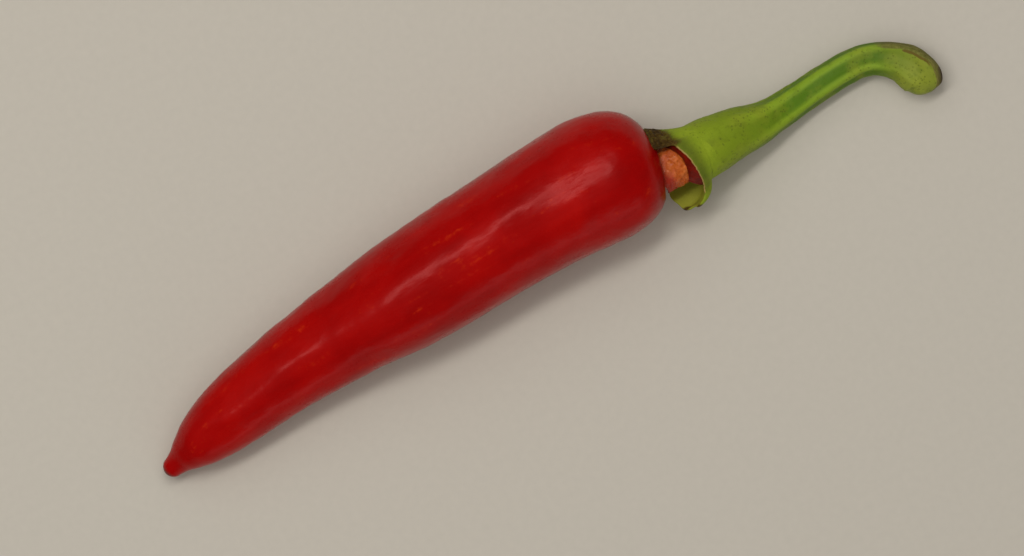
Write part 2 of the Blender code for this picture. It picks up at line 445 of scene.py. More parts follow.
pod = {
    "length": 91.0,
    # its middle, seen from above, from the pod's own place; radii are by the distance along it
    "line": [(0.0, -8.92), (6.9, -6.97), (18.9, -4.07), (32.9, -2.22), (48.9, -1.07), (62.9, 0.23),
             (74.9, 0.93), (82.9, 0.73), (90.9, 0.43)],
    "radii": [(0.0, 1.35), (2.2, 1.8), (4.8, 2.95), (8.5, 4.4), (14.0, 5.45), (24.0, 6.35),
              (36.0, 7.5), (48.0, 8.85), (62.0, 9.3), (74.0, 9.7), (81.0, 10.05), (91.0, 10.05)],
    "tipRound": 1.3,  # the nub's own dome
    "shoulder": 80.5,  # from here it rounds over to the neck
    "shoulderCurve": (2.4, 2.8),  # how squarely the shoulder rounds over
    "sink": 0.2,  # how far its belly is pressed flat
    "tipLift": 1.2,
    "liftedLength": 26.0,
    "rings": 300,
    "sides": 144,
    # the low ridge, by the share of the length: radians from the top, and height
    "ridgeTurn": [(0.0, 0.3), (0.09, 0.35), (0.19, -0.19), (0.3, -0.01), (0.4, -0.14), (0.5, 0.05),
                  (0.58, 0.14), (0.66, 0.04), (0.74, 0.3), (0.87, 0.06), (1.0, 0.0)],
    "ridgeHeight": [(0.0, 0.2), (0.12, 0.3), (0.3, 0.35), (0.55, 0.3), (0.75, 0.22), (0.82, 0.04),
                    (1.0, 0.0)],
    "ridgeWidth": 0.32,  # radians
    # each dent's middle, seen from above, its reach along and across, and its depth
    "dents": [(74.9, 2.5, 11.0, 5.2, 0.42), (82.4, 7.5, 3.0, 2.2, 0.16), (30.9, -5.6, 9.0, 5.0, 0.15),
              (42.9, 4.9, 14.0, 5.0, 0.14), (77.9, -6.1, 5.0, 3.0, 0.14)],
    "dentFade": 4.0,  # a dent is whole this far above the middle
    "waveSize": 13.0,
    "waveDepth": 0.25,
    "furrowSize": 7.5,
    "furrowDepth": 0.3,
    "dimpleSize": 3.2,
    "dimpleDepth": 0.14,
    "calmTip": (1.0, 14.0),  # all these fade in along the tip
    "calmShoulder": 6.0,  # and fade to a fifth over this last stretch
    "neck": (0.35, 0.0, 3.4),  # where the flesh tore out of it, from the flesh's own place
    "neckRadius": 3.7,
    "recess": 0.9,
    "lip": 0.5,  # height of the ragged lip round it
    "nub": (0.2, 1.1),  # the dark point of the tip fades out over this stretch
    "seed": 3.0,
    "skinColours": [(0.28, (0.27, 0.0008, 0.0008)), (0.50, (0.345, 0.0014, 0.0012)),
                    (0.75, (0.42, 0.0028, 0.0016))],
    "fleckColour": (0.56, 0.032, 0.004),
    "neckColour": (0.17, 0.0012, 0.0015),
    "nubColour": (0.06, 0.008, 0.004),
}


def podMaterial():
    skin = Finish("podSkin", {"Specular IOR Level": 0.23, "Specular Tint": (1.0, 0.36, 0.34, 1.0)})
    grown = skin.mark("grown", "Vector")
    drift = skin.noise(grown, 9.0, 3.0, 0.55, 0.4)
    streak = skin.noise(skin.stretch(grown, 0.12, 1.0, 1.0), 1.6, 4.0, 0.6)
    fleck = skin.noise(grown, 1.1, 3.0, 0.65)
    base = skin.ramp(pod["skinColours"], drift * 0.7 + streak * 0.3)
    warm = skin.smooth(streak * 0.6 + fleck * 0.4, 0.57, 0.72)
    colour = skin.blend(warm * 0.55, base, pod["fleckColour"])
    colour = skin.blend(skin.mark("neck") * 0.6, colour, pod["neckColour"])
    colour = skin.blend(skin.mark("tip") * 0.8, colour, pod["nubColour"])
    wax = skin.noise(grown, 5.0, 4.0, 0.6)
    peel = skin.noise(grown, 0.55, 2.0, 0.5)
    wrinkle = skin.noise(skin.stretch(grown, 0.35, 1.0, 1.0), 2.2, 3.0, 0.5)
    return skin.paint(colour=colour, roughness=0.17 + wax * 0.16 + fleck * 0.06,
                      bump=skin.bump(wrinkle * 0.85 + peel * 0.15, 0.1))


# The height of its middle, so that the belly lies on the surface and the tip lifts a little
def podHeight(travelled):
    radii = np.array(pod["radii"]).T
    radius = np.interp(min(travelled, pod["shoulder"]), *radii)
    lift = pod["tipLift"] * max(0.0, 1.0 - travelled / pod["liftedLength"]) ** 2
    return radius - pod["sink"] + lift


def makePod():
    shape = Shape("podShape", {
        "Length": pod["length"] * mm, "Widest": widest(pod) * mm, "Tip round": pod["tipRound"] * mm,
        "Shoulder": pod["shoulder"] * mm, "Wave depth": pod["waveDepth"] * mm,
        "Furrow depth": pod["furrowDepth"] * mm, "Dimple depth": pod["dimpleDepth"] * mm,
        "Ridge width": pod["ridgeWidth"],
        "Neck": tuple((placeOf("torn_flesh") + Vector(pod["neck"])) * mm),
        "Neck radius": pod["neckRadius"] * mm, "Recess": pod["recess"] * mm,
        "Rings": pod["rings"], "Sides": pod["sides"], "Seed": pod["seed"]}, podMaterial())
    length = shape.given("Length")

    def radiusAt(along):
        body = girthCurve(shape, pod, along)
        tip = rounding(shape, shape.given("Tip round") - along, 0.0, shape.given("Tip round"), 2.0, 2.0)
        shoulder = rounding(shape, along, shape.given("Shoulder"), length, *pod["shoulderCurve"])
        return body * tip * shoulder * shape.given("Widest")

    mesh = sweep(shape, radiusAt)
    mesh = shape.store(mesh, "grown", straightened(shape), "FLOAT_VECTOR")
    grown = shape.named("grown", "FLOAT_VECTOR")
    along, across, above = shape.split(grown)

    # soft waves, lengthwise furrows and small dimples, none at the very ends
    shift = shape.vector("ADD", grown, shape.join(shape.given("Seed"), 0.0, 0.0))
    wave = shape.noise(shift, pod["waveSize"], 1.0) - 0.5
    furrow = shape.noise(shape.stretch(shift, 0.22, 1.0, 1.0), pod["furrowSize"], 1.0) - 0.5
    dimple = shape.noise(shift, pod["dimpleSize"], 2.0) - 0.5
    calm = shape.smooth(along, *metres(pod["calmTip"]))
    calm = calm * (1.0 - shape.smooth(along, length - pod["calmShoulder"] * mm, length) * 0.8)
    swell = wave * shape.given("Wave depth") * 2.0 + furrow * shape.given("Furrow depth") * 2.0
    swell = swell + dimple * shape.given("Dimple depth") * 2.0

    # a low ridge that wanders along the top, and a few dents
    lifted = [(place, angle + 0.5) for place, angle in pod["ridgeTurn"]]  # a curve holds 0 to 1
    turn = shape.node("ShaderNodeFloatCurve", {"curve": lifted}, {"Value": along / length}) - 0.5
    off = (shape.math("ARCTAN2", across, above) - turn) / shape.given("Ridge width")
    height = shape.node("ShaderNodeFloatCurve", {"curve": pod["ridgeHeight"]}, {"Value": along / length})
    swell = (swell + shape.math("EXPONENT", off * off * -1.0) * height * mm) * calm
    x, y, _ = shape.split(shape.vector("SUBTRACT", shape.node("GeometryNodeInputPosition"),
                                       tuple(placeOf("pod") * mm)))
    upper = shape.smooth(above, 0.0, pod["dentFade"] * mm)
    for middleX, middleY, reachX, reachY, depth in pod["dents"]:
        apart = shape.join((x - middleX * mm) / (reachX * mm), (y - middleY * mm) / (reachY * mm), 0.0)
        apart = shape.vector("LENGTH", apart, out="Value")
        swell = swell - (1.0 - shape.smooth(apart, 0.0, 1.0)) * upper * (depth * mm)
    mesh = shape.push(mesh, shape.node("GeometryNodeInputNormal"), swell)

    # the socket that the neck tore out of, with a low lip round it
    _, y, z = shape.split(shape.vector("SUBTRACT", shape.node("GeometryNodeInputPosition"),
                                       shape.given("Neck")))
    away = shape.math("SQRT", y * y + z * z) / shape.given("Neck radius")
    atEnd = shape.smooth(along, length - 2.2 * mm, length - 1.0 * mm)
    inside = (1.0 - shape.smooth(away, 0.8, 1.15)) * atEnd
    lip = shape.smooth(away, 0.95, 1.2) * (1.0 - shape.smooth(away, 1.2, 1.55)) * atEnd
    ragged = shape.noise(grown, 0.9, 2.0) * pod["lip"] * mm
    mesh = shape.move(mesh, shape.join(lip * ragged - inside * shape.given("Recess"), 0.0, 0.0))
    mesh = shape.store(mesh, "neck", (1.0 - shape.smooth(away, 1.1, 2.0)) * atEnd)
    mesh = shape.store(mesh, "tip", 1.0 - shape.smooth(along, *metres(pod["nub"])))
    shape.close(shape.settle(mesh, 0.4))

    points = []
    travelled = 0.0
    for i, (x, y) in enumerate(pod["line"]):
        if i:
            travelled += math.dist((x, y), pod["line"][i - 1])
        points.append((x, y, podHeight(travelled)))
    line = guideLine("podLine", placeOf("pod"), points)
    piece = shape.grow("pod_skin", line)
    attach(piece, "root")
    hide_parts("pod")


makePod()
print("pod grown")


stem = {
    # its middle, from the calyx to the cut, measured from the stem's own place
    "line": [(0.53, 2.01, 8.75), (4.73, 2.04, 7.25), (7.93, 1.94, 6.05), (11.13, 1.69, 4.95),
             (14.63, 1.74, 3.95), (19.13, 2.29, 3.3), (23.63, 2.84, 3.15), (27.93, 3.09, 3.1),
             (30.83, 2.92, 3.05), (33.43, 1.89, 3.05), (35.38, 0.34, 3.1), (36.88, -1.86, 3.15),
             (37.5, -3.8, 3.15), (37.3, -6.0, 3.1)],
    "length": 43.52,  # of that line
    "radii": [(0.0, 4.5), (0.9, 4.57), (1.9, 4.57), (3.2, 4.5), (6.0, 4.2), (9.2, 3.75), (12.4, 3.2),
              (15.4, 2.75), (18.5, 2.6), (21.5, 2.52), (24.5, 2.5), (28.3, 2.5), (31.1, 2.43),
              (34.0, 2.6), (36.4, 2.95), (39.0, 3.3), (41.5, 3.3), (43.52, 3.2)],
    "endRound": 3.0,  # the swollen end rounds over this length
    "ribs": 5.0,
    "ribTurn": 22.0,  # degrees from straight up to the first rib
    "ribTwist": 25.0,  # degrees that they wind by from end to end
    "ribDepth": 0.1,  # share of the radius
    "ribStart": (4.0, 15.0),  # they fade in over the flared top
    "ribEnd": (30.0, 37.0),  # and out again before the swollen end
    "lumpSize": 3.5,
    "lumpDepth": 0.4,
    "veinSize": 1.1,
    "veinDepth": 0.22,
    "smoothTop": (1.5, 5.0),  # where the calyx holds it, lumps and veins fade in
    "cut": (39.86, -6.13, 3.1),  # the middle of the cut, also from the stem's own place
    "cutFacing": (0.926, -0.364, 0.25),
    "cutWobble": 0.25,
    "faceEdge": (0.12, 0.3),  # how far beyond the cut the wood begins to show, and shows fully
    "rimEdge": (0.12, 0.38),  # how far from the cut the dark rim begins to fade, and is gone
    "corkFrom": 0.62,  # the corky patch begins this far round from the top, in radians
    "corkStart": (30.0, 36.0),  # it fades in along the bend
    "scarStart": (36.0, 37.0),
    "scarEnd": (39.5, 41.5),
    "rings": 340,
    "sides": 96,
    "seed": 11.0,
    # furrows and ribs from the calyx to the end, then the corky skin and the cut face
    "furrowColours": [(0.0, (0.22, 0.30, 0.012)), (0.18, (0.18, 0.255, 0.011)),
                      (0.42, (0.088, 0.185, 0.005)), (0.75, (0.08, 0.165, 0.005)),
                      (0.9, (0.24, 0.285, 0.03))],
    "ribColours": [(0.0, (0.31, 0.40, 0.022)), (0.2, (0.27, 0.37, 0.02)), (0.45, (0.21, 0.33, 0.018)),
                   (0.78, (0.24, 0.36, 0.03)), (0.92, (0.33, 0.39, 0.055))],
    "barkColours": [(0.3, (0.07, 0.05, 0.018)), (0.5, (0.15, 0.125, 0.035)), (0.72, (0.26, 0.20, 0.07))],
    "woodColours": [(0.25, (0.16, 0.12, 0.06)), (0.6, (0.30, 0.26, 0.15)), (0.8, (0.38, 0.34, 0.21))],
    "paleColour": (0.25, 0.29, 0.02),
    "shadedColour": (0.11, 0.165, 0.007),
    "spotColour": (0.07, 0.09, 0.008),
    "scarColour": (0.12, 0.05, 0.014),
    # the cut's own dark rim, with painted shade on its low side
    "rimAndShadeColour": (0.06, 0.03, 0.016),
}


def stemMaterial():
    green = Finish("stemGreen", {"Specular IOR Level": 0.14})
    grown = green.mark("grown", "Vector")
    rib = green.mark("rib")
    along = green.mark("along") / (stem["length"] * mm)
    fibre = green.noise(green.stretch(grown, 0.08, 1.0, 1.0), 0.5, 4.0, 0.6)
    cloud = green.noise(grown, 3.5, 3.0, 0.6)
    rough = green.noise(grown, 0.45, 4.0, 0.7)
    speck = green.cells(green.vector("ADD", grown, rough * 0.3 * mm), 0.55)
    colour = green.blend(green.smooth(rib * 0.8 + fibre * 0.4, 0.25, 0.95),
                         green.ramp(stem["furrowColours"], along), green.ramp(stem["ribColours"], along))
    colour = green.blend(green.smooth(cloud, 0.42, 0.7) * 0.5, colour, stem["paleColour"])
    shaded = green.smooth(green.noise(grown, 1.7, 3.0, 0.6), 0.5, 0.72)
    colour = green.blend(shaded * 0.4, colour, stem["shadedColour"])
    spots = (1.0 - green.smooth(speck, 0.08, 0.38)) * green.smooth(cloud + rough * 0.3, 0.52, 0.72)
    colour = green.blend(spots * 0.6, colour, stem["spotColour"])

    # corky skin and a scar on the outside of the bend, then the cut face inside its dark rim, with painted
    # shade on the rim's low side
    corky = green.smooth(green.mark("cork") + (rough - 0.5) * 0.7, 0.35, 0.75)
    colour = green.blend(corky * 0.75, colour, green.ramp(stem["barkColours"], rough))
    scar = green.smooth(green.mark("scar") + (rough - 0.5) * 0.6, 0.3, 0.8)
    colour = green.blend(scar * 0.75, colour, stem["scarColour"])
    pith = green.noise(grown, 0.3, 4.0, 0.7)
    face = green.mark("face")
    colour = green.blend(face, colour, green.ramp(stem["woodColours"], pith))
    rim = green.smooth(green.mark("rim") + (rough - 0.5) * 0.6, 0.3, 0.75)
    _, _, z = green.split(green.node("ShaderNodeTexCoord", out="Object"))
    rim = rim * (0.95 - green.smooth(z, 3.6 * mm, 5.4 * mm) * 0.65)  # painted shade: the cut's dark rim is darker low down, towards the floor
    colour = green.blend(rim, colour, stem["rimAndShadeColour"])
    relief = fibre * 0.5 + rough * 0.3 + green.smooth(speck, 0.05, 0.3) * 0.25 + pith * face * 0.6
    return green.paint(colour=colour, roughness=0.45 + fibre * 0.12 + corky * 0.2 + face * 0.2,
                       bump=green.bump(relief, 0.12))


def makeStem():
    shape = Shape("stemShape", {
        "Length": stem["length"] * mm, "Widest": widest(stem) * mm, "End round": stem["endRound"] * mm,
        "Ribs": stem["ribs"], "Rib turn": math.radians(stem["ribTurn"]),
        "Rib twist": math.radians(stem["ribTwist"]), "Rib depth": stem["ribDepth"],
        "Cut": tuple((placeOf("stem") + Vector(stem["cut"])) * mm),
        "Cut facing": tuple(Vector(stem["cutFacing"]).normalized()), "Cork from": stem["corkFrom"],
        "Rings": stem["rings"], "Sides": stem["sides"], "Seed": stem["seed"]}, stemMaterial())
    length = shape.given("Length")

    def radiusAt(along):
        body = girthCurve(shape, stem, along)
        end = rounding(shape, along, length - shape.given("End round"), length, 2.3, 2.3)
        return body * end * shape.given("Widest")

    mesh = sweep(shape, radiusAt)
    mesh = shape.store(mesh, "grown", straightened(shape), "FLOAT_VECTOR")
    grown = shape.named("grown", "FLOAT_VECTOR")
    along, across, above = shape.split(grown)
    angle = shape.math("ARCTAN2", across, above)

    # ribs that wind a little, over soft lumps and fine lengthwise veins
    wound = angle - shape.given("Rib turn") - along / length * shape.given("Rib twist")
    rib = (shape.math("COSINE", wound * shape.given("Ribs")) * 0.5 + 0.5) ** 1.4
    ribbed = shape.smooth(along, *metres(stem["ribStart"]))
    ribbed = ribbed * (1.0 - shape.smooth(along, *metres(stem["ribEnd"])) * 0.8)
    mesh = shape.store(mesh, "rib", rib * (0.3 + ribbed * 0.7))
    shift = shape.vector("ADD", grown, shape.join(shape.given("Seed"), 0.0, 0.0))
    lump = shape.noise(shift, stem["lumpSize"], 2.0) - 0.5
    vein = shape.noise(shape.stretch(shift, 0.12, 1.0, 1.0), stem["veinSize"], 2.0) - 0.5
    swell = (rib - 0.45) * (0.12 + ribbed * 0.88) * shape.given("Rib depth") * shape.named("girth")
    rough = lump * stem["lumpDepth"] * mm + vein * stem["veinDepth"] * mm
    swell = swell + rough * shape.smooth(along, *metres(stem["smoothTop"]))
    mesh = shape.push(mesh, shape.node("GeometryNodeInputNormal"), swell)

    # corky skin on the outside of the bend, with a scar along its edge
    late = shape.smooth(along, *metres(stem["corkStart"]))
    corkFrom = shape.given("Cork from") + lump * 0.5
    cork = shape.smooth(angle - corkFrom, -0.08, 0.12) * late
    mesh = shape.store(mesh, "cork", cork * shape.smooth(2.9 - angle, 0.0, 0.3))
    scar = 1.0 - shape.smooth(shape.math("ABSOLUTE", angle - corkFrom + 0.02), 0.03, 0.12)
    scar = scar * shape.smooth(along, *metres(stem["scarStart"]))
    scar = scar * (1.0 - shape.smooth(along, *metres(stem["scarEnd"])))
    mesh = shape.store(mesh, "scar", scar)

    # the slanted cut, which presses flat what stands beyond it
    beyond = shape.vector("SUBTRACT", shape.node("GeometryNodeInputPosition"), shape.given("Cut"))
    beyond = shape.vector("DOT_PRODUCT", beyond, shape.given("Cut facing"), out="Value")
    beyond = beyond + (shape.noise(shift, 1.3, 3.0) - 0.5) * stem["cutWobble"] * mm
    mesh = shape.store(mesh, "face", shape.smooth(beyond, *metres(stem["faceEdge"])))
    rim = 1.0 - shape.smooth(shape.math("ABSOLUTE", beyond), *metres(stem["rimEdge"]))
    mesh = shape.store(mesh, "rim", rim)
    beyond = shape.node("ShaderNodeMath", {"operation": "SMOOTH_MAX"}, {0: beyond, 1: 0.0, 2: 0.2 * mm})
    mesh = shape.push(mesh, shape.given("Cut facing"), beyond * -1.0)
    shape.close(shape.settle(mesh, 0.3))

    line = guideLine("stemLine", placeOf("stem"), stem["line"])
    piece = shape.grow("stem_stalk", line)
    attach(piece, "root")
    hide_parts("stem")


makeStem()
print("stem grown")


calyx = {
    "mouth": (3.48, 0.38, 5.61),  # its middle, from the calyx's place
    "slope": 20.0,  # degrees that its back leans down
    "root": (4.9, 4.3),  # how far behind the mouth it comes out of the stem, and the radius there
    "crease": (2.9, 4.46),  # where it begins to flare
    "creaseShare": 0.22,  # of its rows, from the root to the crease
    # round the rim: degrees from the top, distance behind the mouth, radius, openness
    "rim": [(-180, 0.2, 6.0, 0.6), (-155, -1.6, 6.2, 0.8), (-135, -2.1, 6.6, 1.0), (-124, -1.6, 7.2, 1.0),
            (-117, -1.4, 8.1, 1.0), (-107, -0.2, 7.3, 1.0), (-97, -0.3, 7.5, 1.0), (-85, 0.8, 6.6, 1.0),
            (-74, 1.0, 5.6, 0.7), (-58, 0.85, 5.2, 0.4), (-40, 0.5, 5.05, 0.3), (-20, 0.1, 5.05, 0.3),
            (0, -0.35, 5.05, 0.3), (22, -0.95, 5.0, 0.3), (36, -1.3, 4.95, 0.2), (43, -3.6, 4.6, -0.2),
            (50, -4.1, 4.8, -0.3), (62, -4.0, 5.6, -0.4), (74, -3.7, 6.4, -0.5), (84, -3.3, 7.2, -0.5),
            (90, -2.6, 6.8, -0.4), (97, 0.0, 5.3, 0.1), (115, 0.2, 5.4, 0.3), (140, -0.5, 5.8, 0.5),
            (162, -0.6, 6.1, 0.6)],
    "wall": 0.36,
    "ragged": 0.17,  # of the rim
    "ripple": 0.16,  # of the wall towards the rim
    "crinkle": 0.3,  # of the withered lobe
    "lobe": (34.0, 95.0),  # degrees from the top, at its two sides
    "lobeEdge": 8.0,  # degrees over which the crinkles fade out
    "teeth": (-117.0, -97.0),  # degrees from the top, of the flap's two dry points
    "around": 720,
    "rows": 56,
    "seed": 5,
    "greenColours": [(0.35, (0.21, 0.29, 0.013)), (0.55, (0.26, 0.345, 0.016)), (0.75, (0.29, 0.38, 0.02))],
    # painted shade: the darker olive that the wall turns towards its rim
    "oliveShadeColours": [(0.35, (0.085, 0.115, 0.009)), (0.65, (0.145, 0.17, 0.012))],
    "dryColours": [(0.36, (0.028, 0.014, 0.002)), (0.5, (0.07, 0.036, 0.004)),
                   (0.6, (0.11, 0.085, 0.010)), (0.72, (0.15, 0.16, 0.022))],
    "insideColour": (0.30, 0.29, 0.03),
    "spotColour": (0.05, 0.06, 0.008),
    "tornColour": (0.40, 0.27, 0.085),
}


# A point given the way the calyx grows: distance behind its mouth, radius and turn from the top
def calyxPoint(back, radius, turn):
    slope = math.radians(calyx["slope"])
    axis = np.array((math.cos(slope), 0.0, -math.sin(slope)))
    top = np.array((math.sin(slope), 0.0, math.cos(slope)))
    side = np.array((0.0, 1.0, 0.0))
    out = np.cos(turn)[..., None] * top + np.sin(turn)[..., None] * side
    mouth = np.array(placeOf("calyx")) + calyx["mouth"]
    return mouth + back[..., None] * axis + radius[..., None] * out


# A ragged line of sines, which meets itself after a full turn
def waves(turn, draw, lowest, highest):
    total = np.zeros_like(turn)
    for count in range(lowest, highest):
        total += draw.normal() * np.sin(count * turn + draw.uniform(0.0, 2.0 * math.pi)) / count ** 0.5
    return total / (highest - lowest) ** 0.5


# The rim's distance behind the mouth, radius and openness at each turn
def rimAt(turn):
    degrees, *columns = np.array(calyx["rim"], float).T
    degrees = np.concatenate([degrees - 360.0, degrees, degrees + 360.0])
    spread = np.linspace(-4.0, 4.0, 9)  # eases the corners between the places given
    lines = []
    for values in columns:
        eased = [np.interp(np.degrees(turn) + step, degrees, np.tile(values, 3)) for step in spread]
        lines.append(np.mean(eased, axis=0))
    return lines


# 0 at low, 1 at high, straight between
def shares(low, high, value):
    return np.clip((value - low) / (high - low), 0.0, 1.0)


# A thin closed sheet from a grid of points: two faces a wall apart, joined round their edges
def sheet(grid, wall, marks, meets=False):
    rows, columns = grid.shape[:2]
    around = np.roll(grid, -1, axis=1) - np.roll(grid, 1, axis=1) if meets else np.gradient(grid, axis=1)
    normal = np.cross(around, np.gradient(grid, axis=0))
    normal /= np.linalg.norm(normal, axis=2, keepdims=True) + 1e-9
    step = normal * wall[..., None] / 2.0
    points = np.concatenate([(grid + step).reshape(-1, 3), (grid - step).reshape(-1, 3)]) * mm
    count = rows * columns
    last = columns if meets else columns - 1
    faces = []
    for i in range(rows - 1):
        for j in range(last):
            k = (j + 1) % columns
            a, b, c, d = i * columns + j, i * columns + k, (i + 1) * columns + k, (i + 1) * columns + j
            faces += [(a, b, c, d), (count + d, count + c, count + b, count + a)]
    edge = [(j, (j + 1) % columns) for j in range(last)]
    bottom = (rows - 1) * columns
    edge += [(bottom + b, bottom + a) for a, b in edge]
    if not meets:
        edge += [((i + 1) * columns, i * columns) for i in range(rows - 1)]
        edge += [(i * columns + columns - 1, (i + 1) * columns + columns - 1) for i in range(rows - 1)]
    faces += [(b, a, count + a, count + b) for a, b in edge]
    both = {name: np.concatenate([np.broadcast_to(values, wall.shape).ravel() for values in pair])
            for name, pair in marks.items()}
    return points, faces, both


def sheetPiece(name, points, faces, marks, finish):
    data = bpy.data.meshes.new(name)
    data.from_pydata(points.tolist(), [], faces)
    for label, values in marks.items():
        attribute = data.attributes.new(label, "FLOAT", "POINT")
        attribute.data.foreach_set("value", values)
    mesh = bmesh.new()
    mesh.from_mesh(data)
    bmesh.ops.recalc_face_normals(mesh, faces=mesh.faces)
    mesh.to_mesh(data)
    mesh.free()
    data.shade_smooth()
    data.materials.append(finish)
    piece = bpy.data.objects.new(name, data)
    bpy.context.scene.collection.objects.link(piece)
    return piece


def calyxMaterial():
    green = Finish("calyxGreen", {"Specular IOR Level": 0.14})
    place = green.node("ShaderNodeTexCoord", out="Object")
    cloud = green.noise(place, 2.2, 3.0, 0.6)
    fine = green.noise(place, 0.45, 4.0, 0.65)
    speck = green.cells(place, 0.75)
    base = green.ramp(calyx["greenColours"], cloud * 0.6 + fine * 0.4)
    # painted shade: the wall darkens to olive towards the rim, in the crease where it flares
    olive = green.smooth(green.mark("olive") + (cloud - 0.5) * 0.5, 0.1, 1.0)
    colour = green.blend(olive * 0.85, base, green.ramp(calyx["oliveShadeColours"], cloud))
    colour = green.blend(green.mark("inside") * 0.85, colour, calyx["insideColour"])
    spots = (1.0 - green.smooth(speck, 0.1, 0.3)) * green.smooth(cloud, 0.42, 0.6)
    colour = green.blend(spots * 0.45, colour, calyx["spotColour"])
    torn = green.smooth(green.mark("rim") + (fine - 0.5) * 0.7, 0.35, 0.8)
    colour = green.blend(torn * 0.9, colour, calyx["tornColour"])
    withered = green.smooth(green.mark("brown") + (fine - 0.5) * 0.6 + (cloud - 0.5) * 0.5, 0.25, 0.85)
    colour = green.blend(withered, colour, green.ramp(calyx["dryColours"], fine * 0.55 + cloud * 0.45))
    return green.paint(colour=colour, roughness=0.5 + fine * 0.25,
                       bump=green.bump(cloud * 0.3 + fine * 0.5, 0.15))


def makeCalyx():
    draw = np.random.default_rng(calyx["seed"])
    turn = np.linspace(-math.pi, math.pi, calyx["around"], endpoint=False)
    degrees = np.degrees(turn)
    rimBack, rimRadius, openness = rimAt(turn)
    rimBack = rimBack + waves(turn, draw, 9, 60) * calyx["ragged"]
    rimRadius = rimRadius + waves(turn, draw, 5, 40) * calyx["ragged"] * 0.6
    part = np.linspace(0.0, 1.0, calyx["rows"])[:, None] * np.ones_like(turn)
    rise = shares(0.0, calyx["creaseShare"], part)  # out of the stem as far as the crease
    flare = shares(calyx["creaseShare"], 1.0, part)  # from there to the rim
    outward = flare + (np.sin(flare * math.pi / 2.0) - flare) * openness
    forward = flare + (1.0 - np.cos(flare * math.pi / 2.0) - flare) * openness
    rootBack, rootRadius = calyx["root"]
    creaseBack, creaseRadius = calyx["crease"]
    back = rootBack + (creaseBack - rootBack) * rise + (rimBack - creaseBack) * forward
    radius = rootRadius + (creaseRadius - rootRadius) * rise + (rimRadius - creaseRadius) * outward
    radius = radius + waves(turn, draw, 6, 22) * calyx["ripple"] * flare ** 2

    # the withered lobe is crinkled, and lies over the pod's shoulder
    first, last = calyx["lobe"]
    edge = calyx["lobeEdge"]
    onLobe = shares(first, first + edge, degrees) * shares(0.0, edge, last - degrees)
    crinkle = waves(turn * 7.0, draw, 2, 9) + waves(part * 9.0, draw, 2, 9) * 0.6
    radius = radius + crinkle * calyx["crinkle"] * onLobe * shares(0.4, -1.4, back)
    brown = shares(first - 12.0, first - 2.0, degrees) * shares(0.0, 6.0, last - degrees)
    brown = brown * shares(1.6, -1.4, back)

    # dry tips on the flap, the pale torn part of the rim, and painted shade: an olive darkening from the
    # crease towards the rim
    teeth = sum(np.exp(-((degrees - tooth) / 4.0) ** 2) for tooth in calyx["teeth"])
    brown = np.maximum(brown, np.minimum(teeth, 1.0) * shares(0.86, 0.95, part))
    rim = shares(0.965, 0.985, part) * shares(-84.0, -76.0, degrees) * shares(-34.0, -22.0, -degrees)
    olive = shares(0.25, 0.85, part) * (1.0 - 0.7 * shares(5.5, 6.5, rimRadius))
    wall = calyx["wall"] * np.sqrt(np.clip((1.02 - part) / 0.08, 0.04, 1.0))  # thin at the rim
    marks = {"inside": (0.0, 1.0), "rim": (rim, rim), "brown": (brown, brown),
             "olive": (olive, olive * 0.4)}
    cup = sheet(calyxPoint(back, radius, turn), wall, marks, meets=True)
    piece = sheetPiece("calyx_cup", *cup, calyxMaterial())
    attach(piece, "root")
    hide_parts("calyx")


makeCalyx()
print("calyx made")


tornSkin = {
    "turn": (-76.0, 66.0),  # degrees from the top, at its two ends
    "inner": 3.3,  # radius
    "innerWobble": 0.12,
    "outer": 4.9,
    "outerLess": 0.45,  # how much less that is under the calyx's lobe
    "innerBack": (-0.45, -1.35),  # distance behind the mouth, of most of it and under the lobe
    "recess": 0.2,  # how far its outer edge is behind the calyx's rim
    "bow": 0.15,  # how far it bows forward between its edges
    "wall": 0.3,
    "around": 220,
    "rows": 16,
    "seed": 9,
    # its own red, painted darker than the pod's skin as painted shade inside the calyx's mouth
    "redAndShadeColours": [(0.3, (0.075, 0.004, 0.002)), (0.5, (0.16, 0.007, 0.002)), (0.72, (0.27, 0.013, 0.004))],
    "shadeColour": (0.03, 0.006, 0.002),
}


def tornSkinMaterial():
    skin = Finish("tornSkin", {"Specular IOR Level": 0.1, "Coat Weight": 0.06, "Coat Roughness": 0.15})
    place = skin.node("ShaderNodeTexCoord", out="Object")
    cloud = skin.noise(place, 1.6, 3.0, 0.6)
    fine = skin.noise(place, 0.35, 3.0, 0.6)
    colour = skin.ramp(tornSkin["redAndShadeColours"], cloud * 0.7 + fine * 0.3)
    # painted shade under the calyx's lobe
    colour = skin.blend(skin.mark("shade") * 0.85, colour, tornSkin["shadeColour"])
    return skin.paint(colour=colour, roughness=0.3 + fine * 0.2, bump=skin.bump(fine, 0.08))


